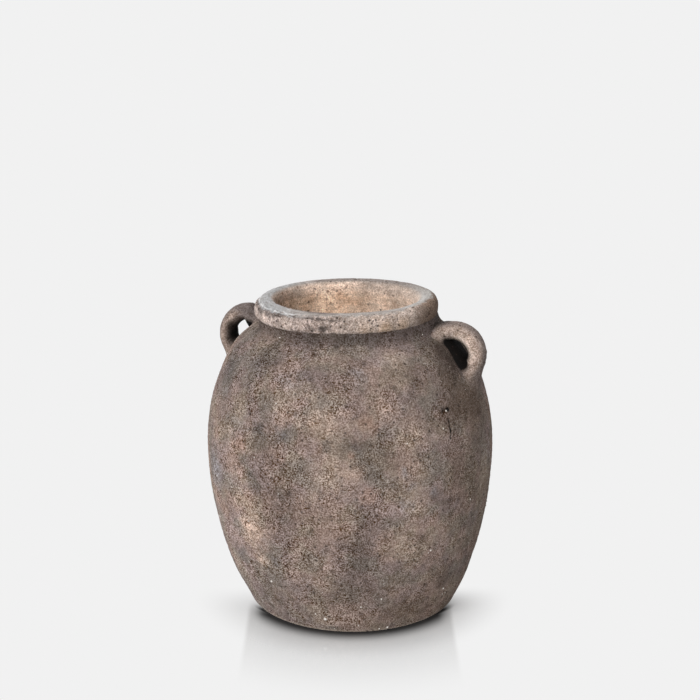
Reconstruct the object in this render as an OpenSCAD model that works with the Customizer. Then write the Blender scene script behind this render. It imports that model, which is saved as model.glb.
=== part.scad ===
// Two-handled storage jar of coarse fired clay, thrown as one wall and finished by hand.
// The foot rests on z = 0, the jar's axis is +Z and the two lug handles stand on +X and -X.
// All sizes are in millimetres and all angles in degrees.

/* [Wall] */
// Widest diameter of the belly
belly_d = 280; // [250:1:330]
// Height of the widest place above the foot
belly_h = 156; // [130:1:190]
// Diameter of the foot, before its edge is rounded
foot_d = 209; // [180:1:235]
// Radius of the profile that rises from the belly to the shoulder
upper_arc_r = 196; // [170:1:240]
// Angle through which that profile leans in before the shoulder begins
upper_turn = 27; // [20:1:34]
// Radius of the shoulder
shoulder_arc_r = 62; // [50:1:75]
// Thickness of the thrown wall
wall_t = 7; // [5:0.5:10]
// Thickness of the crown, where the wall swells into the neck
crown_t = 12; // [9:0.5:15]
// Rounding of the outer edge of the foot
foot_edge_r = 3; // [1:0.5:5]

/* [Floor] */
// Thickness of the floor slab
floor_t = 9; // [6:0.5:14]
// Hollow left under the slab, so that the jar stands on its foot ring
floor_lift = 1.5; // [0.5:0.5:4]

/* [Neck and rim] */
// Diameter of the mouth
mouth_d = 137; // [110:1:150]
// Thickness of the short neck under the rim
neck_t = 13; // [10:0.5:16]
// Rounding between the neck and the shoulder
neck_cove_r = 4; // [2:0.5:5]
// Thickness of the rolled rim
rim_t = 20; // [17:0.5:26]
// Height of the rim's centre above the crown of the shoulder
rim_rise = 13; // [11:0.5:22]
// Depth of the rim's flat seat below the rim's centre
rim_seat = 7; // [5:0.5:8]

/* [Handles] */
// Width of the strap, along the wall
strap_w = 28; // [24:0.5:32]
// Thickness of the strap
strap_t = 16; // [13:0.5:18]
// Rounding of the strap's two edges
strap_edge_r = 6; // [4:0.5:6]
// Radius of the loop at the middle of the strap
loop_r = 22.5; // [20:0.5:26]
// Depth of the loop's centre below the crown of the shoulder
loop_drop = 26; // [24:0.5:28]
// How far the loop's centre lies inside the face of the wall
loop_inset = 9.5; // [7:0.5:11]
// How much higher the left loop sits, as set by hand
left_rise = 3.5; // [0:0.5:4]
// Radius of the clay spread out round each root
root_r = 18; // [17:0.5:20]
// Radius of the hollow that joins each root to its strap
root_cove_r = 10; // [8:0.5:11]

/* [Hidden] */
$fn = 96;

belly_r = belly_d / 2;
foot_r = foot_d / 2;
mouth_r = mouth_d / 2;
neck_r = mouth_r + neck_t;

// The profile is three arcs that meet smoothly: foot to belly, belly to shoulder, shoulder to crown.
swell = belly_r - foot_r;
lower_arc_r = (swell * swell + belly_h * belly_h) / (2 * swell);
lower_c = [belly_r - lower_arc_r, belly_h];
upper_c = [belly_r - upper_arc_r, belly_h];
shoulder_c = upper_c + (upper_arc_r - shoulder_arc_r) * direction(upper_turn);
shoulder_h = belly_h + upper_arc_r * sin(upper_turn);
crown_h = shoulder_c.y + shoulder_arc_r;

// Inside, the shoulder's arc is tighter, so that it runs from the wall's thickness to the crown's.
inner_arc_r = upper_arc_r - wall_t;
inner_rise = crown_h - crown_t - belly_h;
inner_shoulder_r = (inner_rise - inner_arc_r * sin(upper_turn)) / (1 - sin(upper_turn));

rim_c = [mouth_r + rim_t / 2, crown_h + rim_rise];
seat_h = rim_c.y - rim_seat;
jar_h = rim_c.y + rim_t / 2;

// Room past a face for a cut, depth of a root inside the wall before it is trimmed to the wall, and how
// far under the place where they touch the shoulder's arc takes over from the one below
cut_room = 5;
root_depth = 3;
arc_lap = 0.3;

function direction(angle) = [cos(angle), sin(angle)];

// Radius of the wall's outer face at a height on the shoulder
function shoulder_r(height) = shoulder_c.x + sqrt(pow(shoulder_arc_r, 2) - pow(height - shoulder_c.y, 2));

// Where two circles cross, on the left or the right of the way from the first centre to the second
function crossing(centre_a, radius_a, centre_b, radius_b, left) =
    let (
        way = centre_b - centre_a,
        gap = norm(way),
        along = (gap * gap + radius_a * radius_a - radius_b * radius_b) / (2 * gap),
        aside = (left ? 1 : -1) * sqrt(radius_a * radius_a - along * along)
    )
    centre_a + (along * way + aside * [-way.y, way.x]) / gap;

// Half profile, from the axis out

module disc_at(centre, radius) {
    translate(centre) circle(radius);
}

module between(low, high) {
    intersection() {
        children();
        translate([0, low]) square([belly_r + cut_room, high - low]);
    }
}

// Everything within the thrown profile, up to the crown; inset steps it in through the wall
module belly_half(inset = 0, top_arc_r = shoulder_arc_r) {
    turn_h = shoulder_h - inset * sin(upper_turn) - arc_lap;
    top_c = upper_c + (upper_arc_r - inset - top_arc_r) * direction(upper_turn);
    top_h = top_c.y + top_arc_r;
    between(0, belly_h) disc_at(lower_c, lower_arc_r - inset);
    between(belly_h, turn_h) disc_at(upper_c, upper_arc_r - inset);
    between(turn_h, jar_h) {
        disc_at(top_c, top_arc_r);
        square([shoulder_c.x, top_h]);
    }
}

// The hollow that the wall leaves
module hollow_half() {
    belly_half(wall_t, inner_shoulder_r);
}

// Clay that the rounded edge of the foot leaves out
module foot_edge_waste() {
    in_r = lower_arc_r - foot_edge_r;
    drop = belly_h - foot_edge_r;
    edge_c = [lower_c.x + sqrt(in_r * in_r - drop * drop), foot_edge_r];
    outward = (edge_c - lower_c) / in_r;
    difference() {
        polygon([
            edge_c,
            edge_c + foot_edge_r * outward,
            edge_c + 2 * foot_edge_r * outward,
            [foot_r + cut_room, -cut_room],
            [edge_c.x, -cut_room]
        ]);
        disc_at(edge_c, foot_edge_r);
    }
}

// Upright neck, with the hollow that runs it out onto the shoulder
module neck_half() {
    out = neck_r + neck_cove_r - shoulder_c.x;
    centre_r = shoulder_arc_r + neck_cove_r;
    cove_c = [neck_r + neck_cove_r, shoulder_c.y + sqrt(centre_r * centre_r - out * out)];
    foot = shoulder_c + shoulder_arc_r * (cove_c - shoulder_c) / centre_r;
    difference() {
        polygon([[0, shoulder_c.y], foot, cove_c, [neck_r, cove_c.y], [neck_r, seat_h], [0, seat_h]]);
        disc_at(cove_c, neck_cove_r);
    }
}

// Rolled rim, flat where it sits on the neck
module rim_half() {
    between(seat_h, jar_h) {
        disc_at(rim_c, rim_t / 2);
        translate([mouth_r, 0]) square([rim_t / 2, rim_c.y]);
    }
}

// Outside of the jar as one solid, to which the handles are trimmed
module outside() {
    rotate_extrude() {
        belly_half();
        neck_half();
        rim_half();
    }
}

// Strap section: two flat arcs over the faces and two tight ones round the edges
module strap_section() {
    half_t = strap_t / 2;
    edge_y = strap_w / 2 - strap_edge_r;
    step = half_t - strap_edge_r;
    face_x = (edge_y * edge_y - step * step) / (2 * step);
    face_r = half_t + face_x;
    meet_y = edge_y * face_r / (face_r - strap_edge_r);
    intersection() {
        disc_at([face_x, 0], face_r);
        disc_at([-face_x, 0], face_r);
        square([strap_t, 2 * meet_y], center = true);
    }
    for (side = [-1, 1])
        disc_at([0, side * edge_y], strap_edge_r);
}

// Clay spread round a root, on the wall's face where the face is an arc about a centre.
// It is pressed in by half the arc's sag, so that its brim stays thin.
module root(at, centre) {
    out = at - centre;
    sag = root_r * root_r / (2 * norm(out));
    translate([at.x, 0, at.y])
        rotate([0, 90 - atan2(out.y, out.x), 0])
            translate([0, 0, -sag / 2])
                rotate_extrude()
                    difference() {
                        translate([0, -root_depth]) square([root_r, root_depth + root_cove_r]);
                        disc_at([root_r, root_cove_r], root_cove_r);
                    }
}

// Lug handle on +X: a ring of strap that runs into the wall, with its two roots spread onto the face
module handle(rise = 0) {
    loop_h = crown_h - loop_drop;
    loop_c = [shoulder_r(loop_h) - loop_inset, loop_h + rise];
    difference() {
        union() {
            translate([loop_c.x, 0, loop_c.y])
                rotate([90, 0, 0])
                    rotate_extrude()
                        translate([loop_r, 0])
                            strap_section();
            root(crossing(loop_c, loop_r, shoulder_c, shoulder_arc_r, false), shoulder_c);
            root(crossing(loop_c, loop_r, upper_c, upper_arc_r, true), upper_c);
        }
        outside();
    }
}

module wall() {
    color("#6f6056")
        rotate_extrude()
            difference() {
                union() {
                    belly_half();
                    neck_half();
                }
                hollow_half();
                translate([0, shoulder_c.y]) square([mouth_r, jar_h]);
                foot_edge_waste();
            }
}

module floor() {
    color("#7d6a5a")
        rotate_extrude()
            between(floor_lift, floor_lift + floor_t)
                hollow_half();
}

module rim() {
    color("#b5a291")
        rotate_extrude()
            rim_half();
}

module handle_right() {
    color("#94806f") handle();
}

module handle_left() {
    color("#857364") rotate([0, 0, 180]) handle(left_rise);
}

wall();
floor();
rim();
handle_right();
handle_left();
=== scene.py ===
# %% [markdown]
# # A two-handled jar of coarse fired clay
# The real jar is thrown on a wheel, finished with a rolled rim and two pulled handles, and fired until
# its skin is pitted, smoky and dusted with lime. This lesson dresses a packed construction model:
# sizes and places come from that frame, and only the looks are made here.

# %% Load the frame
import math
from types import SimpleNamespace

import bpy
import numpy as np
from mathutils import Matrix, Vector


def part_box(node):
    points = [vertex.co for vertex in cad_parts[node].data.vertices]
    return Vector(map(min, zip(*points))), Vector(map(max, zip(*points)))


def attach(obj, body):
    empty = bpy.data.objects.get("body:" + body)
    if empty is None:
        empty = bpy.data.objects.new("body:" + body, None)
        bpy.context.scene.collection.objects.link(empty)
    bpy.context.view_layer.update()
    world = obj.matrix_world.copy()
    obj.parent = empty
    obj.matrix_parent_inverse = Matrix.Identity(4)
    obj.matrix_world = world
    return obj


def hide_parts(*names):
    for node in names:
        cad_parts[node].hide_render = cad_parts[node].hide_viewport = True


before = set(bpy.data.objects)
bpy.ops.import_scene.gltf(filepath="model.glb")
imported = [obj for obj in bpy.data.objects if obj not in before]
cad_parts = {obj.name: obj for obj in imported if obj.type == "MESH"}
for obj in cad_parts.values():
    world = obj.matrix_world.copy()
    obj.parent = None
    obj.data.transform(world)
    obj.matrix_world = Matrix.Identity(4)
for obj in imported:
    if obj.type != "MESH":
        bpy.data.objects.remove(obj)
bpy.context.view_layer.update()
MM = 0.001

# %% [markdown]
# ## The camera
# The photograph looks slightly down on the jar from a little to its right, so that the inside of the
# throat shows and the left handle is seen from its inner side. A long lens keeps the foot and the rim
# nearly level. The numbers are a real viewpoint: how far round, how far away, how high, how much down.

# %% Place the camera
photo_side_px = 700
focal_length_px = 1382
sensor_width_mm = 36
view_turn = math.radians(18)
view_dip = math.radians(14.71)
view_distance = 1300 * MM
view_height = 588.6 * MM

camera = bpy.data.objects.new("photo_camera", bpy.data.cameras.new("photo_camera"))
camera.data.sensor_width = sensor_width_mm
camera.data.lens = focal_length_px * sensor_width_mm / photo_side_px
camera.location = (
    view_distance * math.sin(view_turn),
    -view_distance * math.cos(view_turn),
    view_height,
)
camera.rotation_euler = (math.pi / 2 - view_dip, 0, view_turn)
bpy.context.scene.collection.objects.link(camera)
bpy.context.scene.camera = camera
print("camera at", tuple(round(c, 3) for c in camera.location), "lens", round(camera.data.lens, 1))

# %% [markdown]
# ## Writing nodes as sums
# Clay needs many small sums in its node trees: a noise less a half, times a depth, faded by a mask.
# Wiring each Math node by hand hides the idea, so one class wraps a socket and turns +, -, * and / into
# Math nodes. Every other node comes from one method of the tree, which sets its options first and its
# sockets next, and what is often asked of one value, such as a fade or a noise, has a short name.


# %% A socket that does maths, and the tree it lives in
class Value:
    """An output socket. Each operator and each method adds nodes and gives back their result."""

    def __init__(self, tree, socket):
        self.tree = tree
        self.socket = socket

    def math(self, operation, *terms):
        return self.tree.node("ShaderNodeMath", {"operation": operation}, dict(enumerate(terms)))

    def __add__(self, other):
        return self.math("ADD", self, other)

    def __radd__(self, other):
        return self.math("ADD", other, self)

    def __sub__(self, other):
        return self.math("SUBTRACT", self, other)

    def __rsub__(self, other):
        return self.math("SUBTRACT", other, self)

    def __mul__(self, other):
        return self.math("MULTIPLY", self, other)

    def __rmul__(self, other):
        return self.math("MULTIPLY", other, self)

    def __truediv__(self, other):
        return self.math("DIVIDE", self, other)

    def __rtruediv__(self, other):
        return self.math("DIVIDE", other, self)

    def fade(self, start, end, low=0.0, high=1.0):
        """Smoothly from low to high, as the value goes from start to end."""
        limits = {"From Min": start, "From Max": end, "To Min": low, "To Max": high}
        smooth = {"interpolation_type": "SMOOTHSTEP"}
        return self.tree.node("ShaderNodeMapRange", smooth, {"Value": self, **limits})

    def fade_mm(self, start, end, low=0.0, high=1.0):
        """A fade whose start and end are in millimetres."""
        return self.fade(start * MM, end * MM, low, high)

    def noise(self, scale, detail=2.0, roughness=0.5, out="Fac"):
        sockets = {"Vector": self, "Scale": scale, "Detail": detail, "Roughness": roughness}
        return self.tree.node("ShaderNodeTexNoise", {}, sockets, out)

    def cells(self, scale):
        """Distance to the nearest of many scattered points, and that point's own random number."""
        nearest = self.tree.node("ShaderNodeTexVoronoi", {}, {"Vector": self, "Scale": scale}, "Distance")
        colour = Value(self.tree, nearest.socket.node.outputs["Color"])
        return nearest, colour.parts()[0]

    def stray(self, scale, reach, detail=2.0):
        """A place led astray by noise, so that what is drawn there gets a ragged edge."""
        drift = self.tree.vector("SUBTRACT", self.noise(scale, detail, 0.6, "Color"), (0.5, 0.5, 0.5))
        return self.tree.vector("ADD", self, self.tree.scaled(drift, reach))

    def mix(self, first, second):
        """One colour or the other, by this share."""
        return self.tree.mix(self, first, second)

    def layered(self, layers):
        """This colour with layers laid over it in turn, each given by its share and its colour."""
        colour = self
        for share, layer in layers:
            colour = self.tree.mix(share, colour, layer)
        return colour

    def away(self, spot):
        return self.tree.vector("DISTANCE", self, spot, out="Value")

    def along(self, way):
        return self.tree.vector("DOT_PRODUCT", self, way, out="Value")

    def length(self):
        return self.tree.vector("LENGTH", self, out="Value")

    def parts(self):
        split = self.tree.node("ShaderNodeSeparateXYZ", {}, {"Vector": self})
        return [Value(self.tree, socket) for socket in split.socket.node.outputs]

    def height(self):
        return self.parts()[2]

    def radius(self):
        """Distance from the upright axis."""
        x, y, _ = self.parts()
        return self.tree.join(x, y, 0).length()


class Tree:
    """A node tree that is written line by line."""

    def __init__(self, group):
        self.group = group

    def node(self, kind, settings=None, inputs=None, out=0):
        made = self.group.nodes.new(kind)
        for name, value in (settings or {}).items():
            setattr(made, name, value)
        for name, value in (inputs or {}).items():
            if isinstance(value, Value):
                self.group.links.new(value.socket, made.inputs[name])
            else:
                made.inputs[name].default_value = value
        return Value(self, made.outputs[out]) if made.outputs else made

    def vector(self, operation, *terms, out="Vector"):
        return self.node("ShaderNodeVectorMath", {"operation": operation}, dict(enumerate(terms)), out)

    def scaled(self, vector, factor):
        return self.node("ShaderNodeVectorMath", {"operation": "SCALE"}, {0: vector, "Scale": factor})

    def mix(self, share, first, second):
        return self.node("ShaderNodeMix", {"data_type": "RGBA"}, {0: share, 6: first, 7: second}, 2)

    def join(self, x, y, z):
        return self.node("ShaderNodeCombineXYZ", {}, {"X": x, "Y": y, "Z": z})


# %% [markdown]
# ## The thrown profile
# A potter's rib draws the wall up as one smooth curve. Measured on the photograph it is three arcs that
# meet without a corner: foot to belly, belly to shoulder, shoulder to crown. A few round sizes and the
# frame's boxes give every centre, so nothing is traced. Heights and radii are kept as (radius, height).

# %% Sizes of the jar
wall_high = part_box("wall")[1]
rim_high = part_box("rim")[1]
belly_r = wall_high.x
seat_h = wall_high.z
jar_h = rim_high.z

belly_h = 156 * MM
foot_r = 104.5 * MM
foot_edge_r = 1.2 * MM
upper_arc_r = 196 * MM
upper_turn = 27
shoulder_arc_r = 62 * MM
wall_t = 7 * MM
crown_t = 19 * MM
neck_t = 18 * MM
neck_cove_r = 9 * MM
rim_r = 10 * MM

mouth_r = rim_high.x - 2 * rim_r
rim_c = np.array([rim_high.x - rim_r, jar_h - rim_r])
neck_r = mouth_r + neck_t
swell = belly_r - foot_r
lower_arc_r = (swell**2 + belly_h**2) / (2 * swell)
lower_c = np.array([belly_r - lower_arc_r, belly_h])
upper_c = np.array([belly_r - upper_arc_r, belly_h])
upper_way = np.array([math.cos(math.radians(upper_turn)), math.sin(math.radians(upper_turn))])
shoulder_c = upper_c + (upper_arc_r - shoulder_arc_r) * upper_way
crown_h = shoulder_c[1] + shoulder_arc_r
print("arcs in mm:", *(np.round(c / MM, 1) for c in (lower_c, upper_c, shoulder_c)))


# %% Points along arcs and lines
def arc(centre, radius, start, end, step):
    """Points about one step apart, from one angle to another in degrees."""
    count = max(2, round(radius * abs(math.radians(end - start)) / step))
    angles = np.radians(np.linspace(start, end, count + 1))
    return np.array(centre) + radius * np.column_stack([np.cos(angles), np.sin(angles)])


def line(start, end, step):
    count = max(1, round(math.dist(start, end) / step))
    return np.linspace(start, end, count + 1)


def oval(angles, half_x, half_y, square):
    """Points of an oval at angles in radians; it fills its box more as square grows from 2."""
    x, y = np.cos(angles), np.sin(angles)
    power = 2 / square
    wide = half_x * np.sign(x) * np.abs(x) ** power
    high = half_y * np.sign(y) * np.abs(y) ** power
    return np.column_stack([wide, high])


def bearing(start, end):
    """Angle in degrees of the way from one point to another."""
    return math.degrees(math.atan2(end[1] - start[1], end[0] - start[0]))


# %% The wall's outline, up the outside and down the inside
outer_step = 2.1 * MM
inner_step = 5 * MM
corner_step = 0.15 * MM

edge_reach = lower_arc_r - foot_edge_r
edge_c = np.array([lower_c[0] + math.sqrt(edge_reach**2 - (belly_h - foot_edge_r) ** 2), foot_edge_r])
cove_r = neck_r + neck_cove_r
cove_reach = shoulder_arc_r + neck_cove_r
cove_c = np.array([cove_r, shoulder_c[1] + math.sqrt(cove_reach**2 - (cove_r - shoulder_c[0]) ** 2)])

outside = np.vstack([
    arc(edge_c, foot_edge_r, -90, bearing(lower_c, edge_c), outer_step / 2),
    arc(lower_c, lower_arc_r, bearing(lower_c, edge_c), 0, outer_step),
    arc(upper_c, upper_arc_r, 0, upper_turn, outer_step),
    arc(shoulder_c, shoulder_arc_r, upper_turn, bearing(shoulder_c, cove_c), outer_step),
    arc(cove_c, neck_cove_r, bearing(cove_c, shoulder_c) + 360, 180, outer_step / 2),
    line((neck_r, cove_c[1]), (neck_r, seat_h - corner_step), outer_step),
    [(neck_r, seat_h)],
])
inner_rise = crown_h - crown_t - belly_h - (upper_arc_r - wall_t) * upper_way[1]
inner_shoulder_r = inner_rise / (1 - upper_way[1])
inner_shoulder_c = upper_c + (upper_arc_r - wall_t - inner_shoulder_r) * upper_way
throat_h = inner_shoulder_c[1] + math.sqrt(inner_shoulder_r**2 - (mouth_r - inner_shoulder_c[0]) ** 2)
inner_foot_turn = -math.degrees(math.asin(belly_h / (lower_arc_r - wall_t)))
throat_turn = bearing(inner_shoulder_c, (mouth_r, throat_h))
inside = np.vstack([
    [(mouth_r, seat_h)],
    line((mouth_r, seat_h - corner_step), (mouth_r, throat_h), outer_step),
    arc(inner_shoulder_c, inner_shoulder_r, throat_turn, upper_turn, inner_step),
    arc(upper_c, upper_arc_r - wall_t, upper_turn, 0, inner_step),
    arc(lower_c, lower_arc_r - wall_t, 0, inner_foot_turn, inner_step),
])
print("wall outline:", len(outside), "points outside and", len(inside), "inside")
print("the throat reaches down to", round(throat_h / MM), "mm")


# %% [markdown]
# ## Turned on the wheel
# Wall, rim and floor are all one thing: an outline swept once round the axis. Blender's Spin or Screw
# could do it, but a Geometry Nodes tree states the rule itself. A flat grid has a row for each point of
# the outline and a column for each step of the turn, and every grid point is sent to its place. The
# seam is then merged, so that the piece is closed like clay.

# %% The wheel as a node tree
TURN = 2 * math.pi


def node_group(name, sizes):
    """A new Geometry Nodes tree with named inputs, and those inputs as values."""
    group = bpy.data.node_groups.new(name, "GeometryNodeTree")
    group.interface.new_socket("Geometry", in_out="INPUT", socket_type="NodeSocketGeometry")
    group.interface.new_socket("Geometry", in_out="OUTPUT", socket_type="NodeSocketGeometry")
    for size, kind in sizes.items():
        group.interface.new_socket(size, in_out="INPUT", socket_type="NodeSocket" + kind)
    tree = Tree(group)
    entry = tree.node("NodeGroupInput").socket.node
    return tree, {socket.name: Value(tree, socket) for socket in entry.outputs if socket.name}


def end_tree(tree, geometry, clay):
    real = tree.node("GeometryNodeRealizeInstances", {}, {"Geometry": geometry})
    done = tree.node("GeometryNodeSetMaterial", {}, {"Geometry": real, "Material": clay})
    tree.node("NodeGroupOutput", {}, {"Geometry": done})
    return tree.group


def named(tree, attribute):
    return tree.node("GeometryNodeInputNamedAttribute", {"data_type": "FLOAT"}, {"Name": attribute})


def store(tree, geometry, attribute, value):
    sockets = {"Geometry": geometry, "Name": attribute, "Value": value}
    return tree.node("GeometryNodeStoreNamedAttribute", {"data_type": "FLOAT", "domain": "POINT"}, sockets)


def wheel_tree():
    tree, size = node_group("turned on the wheel", {"Columns": "Int", "Clay": "Material"})
    outline = size["Geometry"]
    rows = tree.node("GeometryNodeAttributeDomainSize", {"component": "MESH"}, {"Geometry": outline})
    width = size["Columns"] + 1
    grid = tree.node("GeometryNodeMeshGrid", {}, {"Vertices X": rows, "Vertices Y": width})
    index = tree.node("GeometryNodeInputIndex")
    row = index.math("FLOOR", (index + 0.5) / width)
    turn = (index - row * width) / size["Columns"] * -TURN

    def sampled(kind, value):
        sockets = {"Geometry": outline, "Value": value, "Index": row}
        return tree.node("GeometryNodeSampleIndex", {"data_type": kind}, sockets)

    radius, _, height = sampled("FLOAT_VECTOR", tree.node("GeometryNodeInputPosition")).parts()
    spot = tree.join(radius * turn.math("COSINE", turn), radius * turn.math("SINE", turn), height)
    for mask in ("inner", "free"):
        grid = store(tree, grid, mask, sampled("FLOAT", named(tree, mask)))
    turned = tree.node("GeometryNodeSetPosition", {}, {"Geometry": grid, "Position": spot})
    closed = tree.node("GeometryNodeMergeByDistance", {}, {"Geometry": turned, "Distance": 0.01 * MM})
    smooth = tree.node("GeometryNodeSetShadeSmooth", {}, {"Geometry": closed})
    return end_tree(tree, smooth, size["Clay"])


def grow(piece, group, sizes):
    """Runs a tree on a piece and leaves the result as its plain mesh."""
    modifier = piece.modifiers.new(group.name, "NODES")
    modifier.node_group = group
    for item in group.interface.items_tree:
        if item.in_out == "INPUT" and item.name in sizes:
            modifier[item.identifier] = sizes[item.name]
    graph = bpy.context.evaluated_depsgraph_get()
    mesh = bpy.data.meshes.new_from_object(piece.evaluated_get(graph), depsgraph=graph)
    piece.modifiers.clear()
    piece.data = mesh
    mesh.name = piece.name
    return piece


def new_piece(name, points, edges=(), faces=()):
    mesh = bpy.data.meshes.new(name)
    mesh.from_pydata([tuple(p) for p in points], edges, faces)
    piece = bpy.data.objects.new(name, mesh)
    bpy.context.scene.collection.objects.link(piece)
    return piece


def set_mask(piece, name, values):
    layer = piece.data.attributes.new(name, "FLOAT", "POINT")
    layer.data.foreach_set("value", np.array(values, np.float32))


def triangles(piece):
    return sum(len(face.vertices) - 2 for face in piece.data.polygons)


def throw(name, outline, inner, free, columns):
    """A piece turned from an outline; inner and free are masks along the outline."""
    piece = new_piece(name, [(r, 0, z) for r, z in outline])
    set_mask(piece, "inner", inner)
    set_mask(piece, "free", free)
    grow(piece, wheel, {"Columns": columns})
    print(name, triangles(piece), "triangles")
    return piece


wheel = wheel_tree()

# %% [markdown]
# ## The wall
# The wall is the jar's main piece. Its outside gets quads of about two millimetres, small enough for
# dents and pits to be real shape, and its inside, which is only glimpsed, gets coarser ones. Two masks
# ride along: which points are inside, and which are free to weather. The seat and the foot stay true.

# %% Throw the wall
wall_columns = 426
seat_margin = 3 * MM
foot_margin = 6 * MM
wall_outline = np.vstack([outside, inside, outside[:1]])
wall_inner = np.repeat([0.0, 1.0, 0.0], [len(outside), len(inside), 1])
foot_free = np.clip(wall_outline[:, 1] / foot_margin, 0, 1)
seat_free = np.clip((seat_h - wall_outline[:, 1]) / seat_margin, 0, 1)
jar_wall = throw("jar_wall", wall_outline, wall_inner, foot_free * seat_free, wall_columns)

# %% [markdown]
# ## The rolled rim and the floor
# The rim is a coil of clay pressed flat onto the neck and rounded with a wet thumb, so its top is a
# little flatter than a true circle. The floor is a slab wedged in the foot, slightly dished. Both are
# outlines for the same wheel.

# %% Throw the rim
rim_columns = 460
rim_step = 1.1 * MM
rim_square = 2.5
throat_start = 5 * MM
throat_blend = 4 * MM
seat_turn = math.asin(((rim_c[1] - seat_h) / rim_r) ** (rim_square / 2))
roll_points = round((math.pi + seat_turn) * rim_r / rim_step)
roll = rim_c + oval(np.linspace(-seat_turn, math.pi, roll_points), rim_r, rim_r, rim_square)
rim_outline = np.vstack([
    roll[:1],
    roll[:1] + (0, corner_step),
    roll[1:],
    line((mouth_r, rim_c[1]), (mouth_r, seat_h + corner_step), rim_step)[1:],
    [(mouth_r, seat_h)],
    line((mouth_r, seat_h), roll[0], 3 * rim_step)[1:],
])
rim_free = np.clip((rim_outline[:, 1] - seat_h) / seat_margin, 0, 1)
rim_inner = np.clip((rim_c[0] - rim_outline[:, 0] - throat_start) / throat_blend, 0, 1)
jar_rim = throw("jar_rim", rim_outline, rim_inner, rim_free, rim_columns)

# %% Throw the floor
floor_columns = 180
floor_step = 2 * MM
floor_edge_points = 5
floor_calm = 4  # how sharply the weathering calms down towards the wall
floor_dish = 1.5 * MM
floor_low, floor_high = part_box("floor")
inner_foot_r = lower_arc_r - wall_t


def inner_wall_r(height):
    return lower_c[0] + math.sqrt(inner_foot_r**2 - (belly_h - height) ** 2)


floor_top = line((0, floor_high.z - floor_dish), (inner_wall_r(floor_high.z), floor_high.z), floor_step)
floor_top[:, 1] = floor_high.z - floor_dish * np.cos(np.pi / 2 * floor_top[:, 0] / floor_top[-1, 0])
floor_edge_h = np.linspace(floor_high.z, floor_low.z, floor_edge_points)
floor_edge = [(inner_wall_r(height), height) for height in floor_edge_h]
floor_under = line(floor_edge[-1], (0, floor_low.z), 2 * floor_step)
floor_outline = np.vstack([floor_under[::-1], floor_edge[::-1][1:], floor_top[::-1][1:]])
floor_free = np.clip((floor_outline[:, 1] - floor_low.z) / (floor_high.z - floor_low.z), 0, 1)
floor_free *= np.clip((inner_foot_r + lower_c[0] - floor_outline[:, 0]) / belly_r * floor_calm, 0, 1)
jar_floor = throw("jar_floor", floor_outline, np.ones(len(floor_outline)), floor_free, floor_columns)

# %% [markdown]
# ## The pulled handles
# A handle is a strap pulled from wet clay, bent into a small loop and thumbed onto the shoulder until its
# ends spread into the wall. A swept curve would end in a hard ring there, so the strap is lofted: oval
# rings follow the loop, and at each end every point runs down a short curve that leaves the strap
# straight and arrives flat on the wall's face. The last ring dives into the wall and is closed there.
# As handwork the two differ: the right strap is swollen inwards and its roots spread far, the left one
# has a wedge of clay at its upper root and is thinned at its edges.

# %% Distance from the wall's face
strap_w = 28 * MM
strap_t = 16 * MM
loop_r = 22.5 * MM
loop_out = loop_r + strap_t / 2


def face_gap(points):
    """How far points lie outside the wall's face near the shoulder, and which way is straight out."""
    radius = np.hypot(points[:, 0], points[:, 1])
    flat = np.column_stack([radius, points[:, 2]])
    from_shoulder = flat - shoulder_c
    on_shoulder = np.degrees(np.arctan2(from_shoulder[:, 1], from_shoulder[:, 0])) > upper_turn
    way = np.where(on_shoulder[:, None], from_shoulder, flat - upper_c)
    length = np.hypot(way[:, 0], way[:, 1])
    gap = length - np.where(on_shoulder, shoulder_arc_r, upper_arc_r)
    out = np.column_stack([way[:, :1] * points[:, :2] / radius[:, None], way[:, 1]]) / length[:, None]
    return gap, out


# %% Rings of the strap
ring_points = 72
ring_turn = np.linspace(0, TURN, ring_points, endpoint=False)
strap_square = 2.0
front_share = 0.3
thin_start = 0
thin_end = 50
wedge_start = 83
wedge_end = 94


def unit(way):
    return way / np.linalg.norm(way)


def loop_place(loop_c, angle, stretch):
    """Middle of the strap at an angle round the loop, and the way out; stretch flattens its inner top."""
    half = loop_r * (stretch if math.cos(angle) < 0 else 1)
    middle = np.array([loop_c[0] + half * math.cos(angle), 0, loop_c[1] + loop_r * math.sin(angle)])
    return middle, unit(np.array([loop_r * math.cos(angle), 0, half * math.sin(angle)]))


def ease(value, start, end):
    """Smoothly from 0 to 1, as the value goes from start to end."""
    share = np.clip((value - start) / (end - start), 0, 1)
    return share**2 * (3 - 2 * share)


def strap_ring(loop_c, angle, stretch, swell, wedge, thin):
    """An oval ring of the strap. On its inner half, swell thickens it, wedge adds to that towards the
    upper root, and thin takes clay off the edges over the top of the loop, most at the back."""
    middle, out = loop_place(loop_c, angle, stretch)
    turn = math.degrees(angle)
    section = oval(ring_turn, strap_t / 2, strap_w / 2, strap_square)
    off_middle = np.maximum(section[:, 1], -front_share * section[:, 1]) / (strap_w / 2)
    inner = swell * (1 - thin * off_middle * ease(turn, thin_start, thin_end))
    inner = inner + wedge * ease(turn, wedge_start, wedge_end)
    section[:, 0] *= np.where(section[:, 0] < 0, inner, 1)
    return middle + section[:, :1] * out + section[:, 1:] * np.array([0, 1, 0])


# %% Roots of the strap
throat_room = 6 * MM
crest_turn = math.radians(75)
root_steps = 12
root_dive = 3 * MM
toe_sink = 0.3 * MM
tries_onto_face = 4
tries_round_loop = 40


def off_throat(ring):
    """The ring, with what would show inside the throat moved out into the neck's clay."""
    push = np.maximum(1, (mouth_r + throat_room) / np.hypot(ring[:, 0], ring[:, 1]))
    return ring * np.column_stack([push, push, np.ones(len(ring))])


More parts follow.
